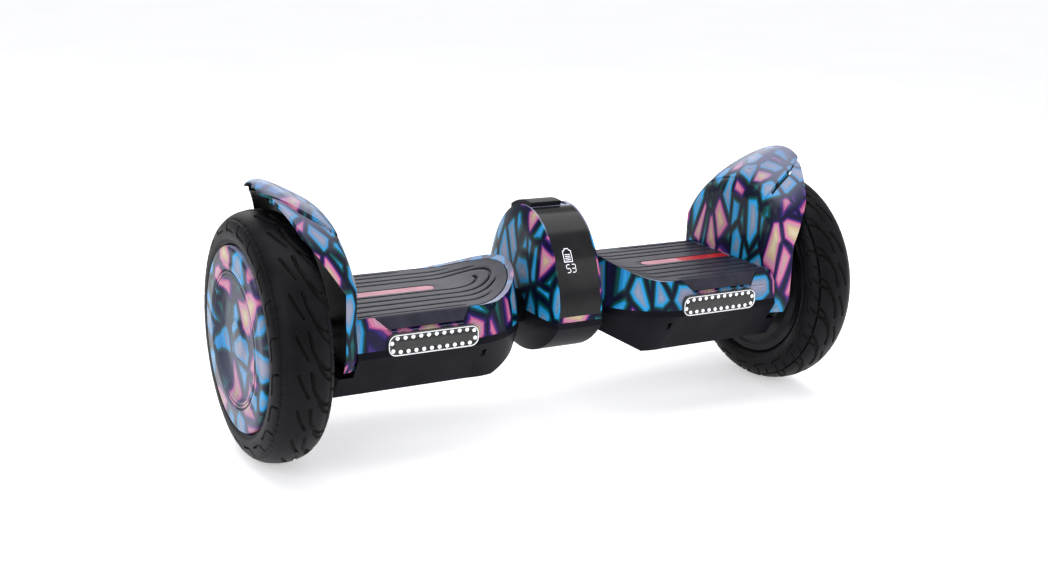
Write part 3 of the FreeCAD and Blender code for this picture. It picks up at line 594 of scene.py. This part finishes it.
def add_piece(name, points, faces, body, material, nodes=(), flip=False, groove=None, sharp=32.0):
    """New piece from points in millimetres; it rides on a body and may stand for CAD nodes."""
    mesh = bpy.data.meshes.new(name)
    rows = [tuple(reversed(face)) for face in faces] if flip else [tuple(face) for face in faces]
    mesh.from_pydata((np.asarray(points).reshape(-1, 3) * MM).tolist(), [], rows)
    mesh.shade_smooth()
    mesh.set_sharp_from_angle(angle=math.radians(sharp))
    if groove is not None:
        mesh.attributes.new("groove", "FLOAT", "POINT").data.foreach_set("value", groove.ravel())
    mesh.materials.append(MATERIALS[material])
    piece = bpy.data.objects.new(name, mesh)
    bpy.context.scene.collection.objects.link(piece)
    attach(piece, body)
    if nodes:
        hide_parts(*nodes)


def to_segment(x, y, a, b):
    """Distance from points to a straight segment."""
    dx, dy = b[0] - a[0], b[1] - a[1]
    t = np.clip(((x - a[0]) * dx + (y - a[1]) * dy) / (dx * dx + dy * dy), 0, 1)
    return np.hypot(x - a[0] - t * dx, y - a[1] - t * dy)


# ---- wheels ----
def tread_depth(along, across):
    """Depth of the tread grooves at points of one pitch, which repeats."""
    depth = np.zeros_like(along)
    for line, half_width, deep in TREAD:
        distance = np.full_like(along, 99.0)
        for shift in (-2, -1, 0, 1, 2):
            for a, b in zip(line, line[1:]):
                here = to_segment(along + shift * PITCH, across, a, b)
                distance = np.minimum(distance, here)
        depth = np.maximum(depth, deep * np.clip((half_width + 0.45 - distance) / 0.9, 0, 1))
    return depth


def tyre(side):
    """Air tyre with its tread cut in. Both wheels are the same unit, turned half round."""
    half = smooth_line(TYRE_SIDE, 12)
    whole = np.vstack([half[::-1] * (-1, 1), half[1:]])
    section, along = evenly(whole, ACROSS)
    across = along - along[-1] / 2
    slope = np.gradient(section, axis=0)
    slope /= np.linalg.norm(slope, axis=1)[:, None]
    inward = np.stack([slope[:, 1], -slope[:, 0]], axis=1)
    u = np.arange(AROUND) * PITCH / AROUND
    depth = tread_depth(*np.meshgrid(u, across, indexing="ij"))
    ribs = np.clip(1 - np.abs(np.abs(across) - RIB_RING) / 2.5, 0, 1) * 0.5
    depth += ribs * (0.5 + 0.5 * np.cos(2 * np.pi * RIBS * u[:, None] / PITCH))
    depth = np.tile(depth, (PITCHES, 1))
    x = section[:, 0] + inward[:, 0] * depth
    r = section[:, 1] + inward[:, 1] * depth
    a = -2 * np.pi * np.arange(AROUND * PITCHES)[:, None] / (AROUND * PITCHES)
    points = np.stack([-(WHEEL_X + x), -r * np.cos(a), AXLE_Z + r * np.sin(a)], axis=-1)
    if side == "right":
        points[..., :2] *= -1
    faces = grid_faces(AROUND * PITCHES, ACROSS, wrap_rows=True)
    # painted shade in the tread: the deeper the groove, the blacker
    groove = np.clip(depth / 1.2, 0, 1)
    add_piece(
        side + "_treaded_tyre", points, faces, side + "_wheel", "tyre",
        nodes=[side + "_tyre"], groove=groove, sharp=60.0,
    )


def hair(angle, x, r, lean, length):
    """Corners of one thin three-sided spike on the tyre, in the wheel's own frame."""
    out = Vector((math.copysign(lean, x), 0, math.sqrt(1 - lean * lean)))
    along = Vector((0, 1, 0))
    across = out.cross(along)
    foot = Vector((x, 0, r)) - out * 0.5
    corners = [foot + out * length]
    for third in range(3):
        a = 2 * math.pi * third / 3
        corners.append(foot + (along * math.cos(a) + across * math.sin(a)) * 0.3)
    turn = Matrix.Rotation(angle, 3, "X")
    return [turn @ corner for corner in corners]


def moulding_hairs(side, sign):
    """Short rubber hairs left by the mould, along both shoulders."""
    points = []
    faces = []
    for ring, (x, r, lean) in enumerate(((30.6, 104.0, 0.9), (-30.6, 104.0, 0.9), (24.0, 119.0, 0.5))):
        for i in range(HAIRS):
            angle = 2 * math.pi * (i + 0.37 * ring) / HAIRS + 0.05 * math.sin(9.0 * i + ring)
            tip = len(points)
            for p in hair(angle, x, r, lean, 3.0 + 0.6 * math.sin(5.0 * i)):
                points.append((sign * (WHEEL_X + p.x), p.y, AXLE_Z + p.z))
            for a, b in ((1, 2), (2, 3), (3, 1)):
                faces.append((tip + a, tip + b, tip))
            faces.append((tip + 3, tip + 2, tip + 1))
    add_piece(
        side + "_moulding_hairs", points, faces, side + "_wheel", "tyre",
        flip=sign < 0, groove=np.zeros(len(points)),
    )


def hub(side, sign):
    """Printed wheel cover, turned from its section."""
    a = 2 * np.pi * np.arange(HUB_STEPS)[:, None] / HUB_STEPS
    x, r = np.array(HUB_PROFILE).T
    out = sign * (WHEEL_X + HUB_FACE + x) + 0 * a
    points = np.stack([out, r * np.cos(a), AXLE_Z + r * np.sin(a)], axis=-1)
    faces = grid_faces(HUB_STEPS, len(HUB_PROFILE), wrap_rows=True, wrap_columns=True)
    inner, outer, deep = HUB_SHADE_RING
    # painted shade in the narrow channels between the cover's rings
    grooves = np.where((r > inner) & (r < outer) & (x < deep), 0.9, 0.0) + 0 * a
    add_piece(
        side + "_wheel_cover", points, faces, side + "_wheel", "hub_print",
        nodes=[side + "_hub_cover"], flip=sign > 0, groove=grooves, sharp=40.0,
    )


# ---- foot pads ----
def deck_height(x):
    """Height of the deck's middle line: flat, then an arc up to the inner end."""
    reach = FLAT_END - BODY_IN
    rise = HUMP_Z - DECK_Z
    radius = (reach**2 + rise**2) / (2 * rise)
    run = np.maximum(0.0, FLAT_END - x)
    return DECK_Z + radius - np.sqrt(radius**2 - run**2)


def pad_lines(ranks):
    """Plan of the pad's lines round the slot: x, y and the turn about the tip for each point."""
    ranks = np.asarray(ranks, dtype=float)[None, :]
    known, turns, ends = np.array(PAD_TURNS).T
    bends = np.interp(ranks, known, turns)
    tips = np.interp(ranks, known, ends)
    shift = PAD_SHIFT * (PAD_EDGE - ranks) / (PAD_EDGE - PAD_SLOT)
    run = np.linspace(0, 1, 48, endpoint=False)[:, None]
    turn = np.radians(np.linspace(90, -90, 121))[:, None]
    rear_x = PAD_END + (bends - PAD_END) * run
    front_x = bends + (PAD_END - bends) * (run + 1 / 48)
    x = np.vstack([rear_x, bends - (bends - tips) * np.cos(turn), front_x])
    y = np.vstack([ranks + 0 * rear_x, ranks * np.sin(turn), -ranks + 0 * front_x]) + shift
    angle = np.vstack([90 + rear_x - bends, np.degrees(turn) + 0 * ranks, -90 - (front_x - bends)])
    return x, y, angle


def pad_relief(ranks, x, y, angle):
    """How far the pad's surface drops at its grooves, and how much painted shade darkens them."""
    # Real distance between neighbouring lines for one step of rank; it varies round the turn.
    spread = np.hypot(np.gradient(x, ranks, axis=1), np.gradient(y, ranks, axis=1))
    ranks = ranks[None, :]
    drop = np.zeros_like(angle)
    dark = np.zeros_like(angle)
    for rank, gap in PAD_GROOVES:
        here = np.ones_like(angle)
        if gap:
            here = np.clip(np.maximum(gap[0] - angle, angle - gap[1]) / 14.0, 0, 1)
        distance = np.abs(ranks - rank) * spread
        width = 0.4 + 1.0 * here
        cut = np.clip((width + 0.4 - distance) / 0.8, 0, 1) * np.minimum(here * 2, 1)
        drop = np.maximum(drop, 2.2 * cut)
        drop = np.maximum(drop, 0.8 * here * np.clip(1 - distance / 5.5, 0, 1) ** 2)
        # painted shade in the groove
        dark = np.maximum(dark, cut)
    return drop, dark


def pad(side, sign):
    """Rubber foot pad: ridges that run round the light strip's slot."""
    near_slot = np.linspace(PAD_SLOT, PAD_DENSE, 70, endpoint=False)
    top = np.concatenate([near_slot, np.linspace(PAD_DENSE, PAD_EDGE, 140)])
    under = np.linspace(PAD_EDGE, PAD_SLOT, 16)
    x, y, angle = pad_lines(top)
    drop, dark = pad_relief(top, x, y, angle)
    drop += 1.3 * np.clip((top[None, :] - PAD_EDGE + 2.0) / 2.0, 0, 1) ** 2
    drop += 0.8 * np.clip((PAD_SLOT + 1.2 - top[None, :]) / 1.2, 0, 1) ** 2
    z = deck_height(x) - drop
    low_x, low_y, _ = pad_lines(under)
    low_z = deck_height(low_x) - PAD_THICK
    pairs = ((sign * x, sign * low_x), (y, low_y), (z, low_z))
    points = np.stack([np.hstack(pair) for pair in pairs], axis=-1)
    groove = np.hstack([dark, np.zeros_like(low_x)])
    rows, columns = groove.shape
    faces = grid_faces(rows, columns, wrap_columns=True)
    add_piece(
        side + "_ridged_pad", points, faces, side + "_pad", "pad_rubber",
        nodes=[side + "_foot_pad"], flip=sign < 0, groove=groove, sharp=70.0,
    )


def pad_tab(side, sign):
    """Smooth tab of the pad that laps over the deck's front edge."""
    y, z = np.array(TAB_SECTION).T
    reach = np.clip((TAB_TOP_Y - y) / TAB_DROP, 0, 1)
    low_x = TAB_ENDS[0] + TAB_SLANT[0] * reach
    high_x = TAB_ENDS[1] - TAB_SLANT[1] * reach
    across = np.linspace(0, 1, 24)[:, None]
    x = low_x + (high_x - low_x) * across
    points = np.stack([sign * x, y + 0 * across, z + 0 * across], axis=-1)
    rows, columns = x.shape
    faces = grid_faces(rows, columns, wrap_columns=True)
    faces.append(tuple(range(columns))[::-1])
    faces.append(tuple(range((rows - 1) * columns, rows * columns)))
    add_piece(
        side + "_pad_tab", points, faces, side + "_pad", "pad_rubber",
        flip=sign < 0, groove=np.zeros(rows * columns), sharp=30.0,
    )


# ---- light bars ----
def bar_loop(inset, count=96):
    """Rounded outline of the light bar, moved inwards."""
    half_x = (BAR_X[1] - BAR_X[0]) / 2 - inset
    half_z = BAR_HALF_Z - inset
    radius = max(BAR_CORNER - inset, min(half_z, 1.5))
    line = []
    for quarter, (cx, cz) in enumerate(((1, 1), (-1, 1), (-1, -1), (1, -1))):
        for step in range(9):
            a = math.pi / 2 * (quarter + step / 8)
            x = cx * (half_x - radius) + radius * math.cos(a)
            z = cz * (half_z - radius) + radius * math.sin(a)
            line.append((x, z))
    line.append(line[0])
    spread, _ = evenly(np.array(line), count + 1)
    middle = (BAR_X[0] + BAR_X[1]) / 2
    return spread[:-1] + (middle, BAR_Z)


def bar_loops(sign, levels):
    """Outlines of the light bar at several (inset, y) levels, as one grid of points."""
    loops = []
    for inset, y in levels:
        loop = bar_loop(inset)
        loops.append(np.stack([sign * loop[:, 0], np.full(len(loop), y), loop[:, 1]], axis=-1))
    return np.array(loops)


def light_bar(side, sign):
    """Light bar: rounded black frame, a lit line, a channel for the lamps and a raised dark centre."""
    levels = (
        (0.0, -83.0), (0.0, -90.8), (0.5, -91.5), (1.2, -91.6), (1.5, -91.3), (6.3, -90.4),
        (6.6, -91.2), (7.6, -91.8), (9.0, -91.8),
    )
    points = bar_loops(sign, levels)
    rows, columns = points.shape[:2]
    faces = grid_faces(rows, columns, wrap_columns=True)
    faces.append(tuple(range((rows - 1) * columns, rows * columns)))
    faces.append(tuple(range(columns))[::-1])
    body = side + "_half"
    add_piece(
        side + "_light_bar", points, faces, body, "clear_lens",
        nodes=[side + "_light_bar_lens"], flip=sign < 0, sharp=35.0,
    )
    lamps(side, sign, body)
    lit_line(side, sign, body)


def lamps(side, sign, body):
    """Row of small domed lamps round the light bar."""
    points = []
    faces = []
    rings = ((2.15, 0.0), (2.0, 0.45), (1.5, 0.8), (0.8, 1.0), (0.05, 1.1))
    for x, z in bar_loop(LAMP_INSET, BAR_DOTS):
        first = len(points)
        for radius, height in rings:
            for k in range(LAMP_STEPS):
                a = 2 * math.pi * k / LAMP_STEPS
                out = sign * (x + radius * math.cos(a))
                points.append((out, LAMP_BASE_Y - height, z + radius * math.sin(a)))
        for face in grid_faces(len(rings), LAMP_STEPS, wrap_columns=True):
            faces.append(tuple(first + i for i in face))
    add_piece(side + "_bar_lamps", points, faces, body, "light_emitter", flip=sign < 0)


def lit_line(side, sign, body):
    """Thin lit line just inside the light bar's rim."""
    points = bar_loops(sign, ((0.7, -91.0), (0.8, -91.9), (1.6, -91.9), (1.8, -91.0)))
    rows, columns = points.shape[:2]
    faces = grid_faces(rows, columns, wrap_rows=True, wrap_columns=True)
    add_piece(side + "_bar_outline", points, faces, body, "lit_line", flip=sign < 0)


# ---- display ----
def on_window(x, z, lift):
    """Point on the display window's curved front."""
    y = -RING_DEPTH * math.sqrt(1 - ((z - AXLE_Z) / (RING_TOP - AXLE_Z)) ** 2)
    return (x, y - lift, z)


def stroke(points, faces, start, end, width):
    """Lit bar of the display between two points of its window, about 0.2 mm proud."""
    a, b = Vector(start), Vector(end)
    ahead = (b - a).normalized() * width / 2
    beside = Vector((-ahead.y, ahead.x))
    a, b = a - ahead, b + ahead
    steps = max(2, int((b - a).length / 2) + 1)
    first = len(points)
    for i in range(steps):
        middle = a.lerp(b, i / (steps - 1))
        for edge, lift in ((beside, -0.2), (beside, 0.2), (-beside, 0.2), (-beside, -0.2)):
            points.append(on_window(middle.x + edge.x, middle.y + edge.y, lift))
    for face in grid_faces(steps, 4, wrap_columns=True):
        faces.append(tuple(first + i for i in face))
    last = first + 4 * (steps - 1)
    faces.append((first + 3, first + 2, first + 1, first))
    faces.append((last, last + 1, last + 2, last + 3))


def display():
    """Battery sign and two plain digits on the display."""
    points = []
    faces = []
    for start, end in zip(BATTERY, BATTERY[1:] + BATTERY[:1]):
        stroke(points, faces, start, end, 0.7)
    for row in range(4):
        z = 191.7 + 1.7 * row
        stroke(points, faces, (-12.1, z), (-6.4, z), 0.6)
    for left, lit in DIGITS:
        for segment in lit:
            (x1, z1), (x2, z2) = SEGMENTS[segment]
            stroke(points, faces, (left + x1, DIGIT_Z + z1), (left + x2, DIGIT_Z + z2), 0.7)
    add_piece("display_signs", points, faces, "left_half", "light_emitter", sharp=30.0)


make_camera()
make_studio(MATERIALS["floor"])
dress_cad_nodes()
for side_name, side_sign in SIDES.items():
    tyre(side_name)
    moulding_hairs(side_name, side_sign)
    hub(side_name, side_sign)
    pad(side_name, side_sign)
    pad_tab(side_name, side_sign)
    light_bar(side_name, side_sign)
    soften([side_name + "_upper_cover", side_name + "_lower_cover", side_name + "_fender"])
soften(["ring_upper_shell", "ring_lower_shell", "carry_handle"])
display()
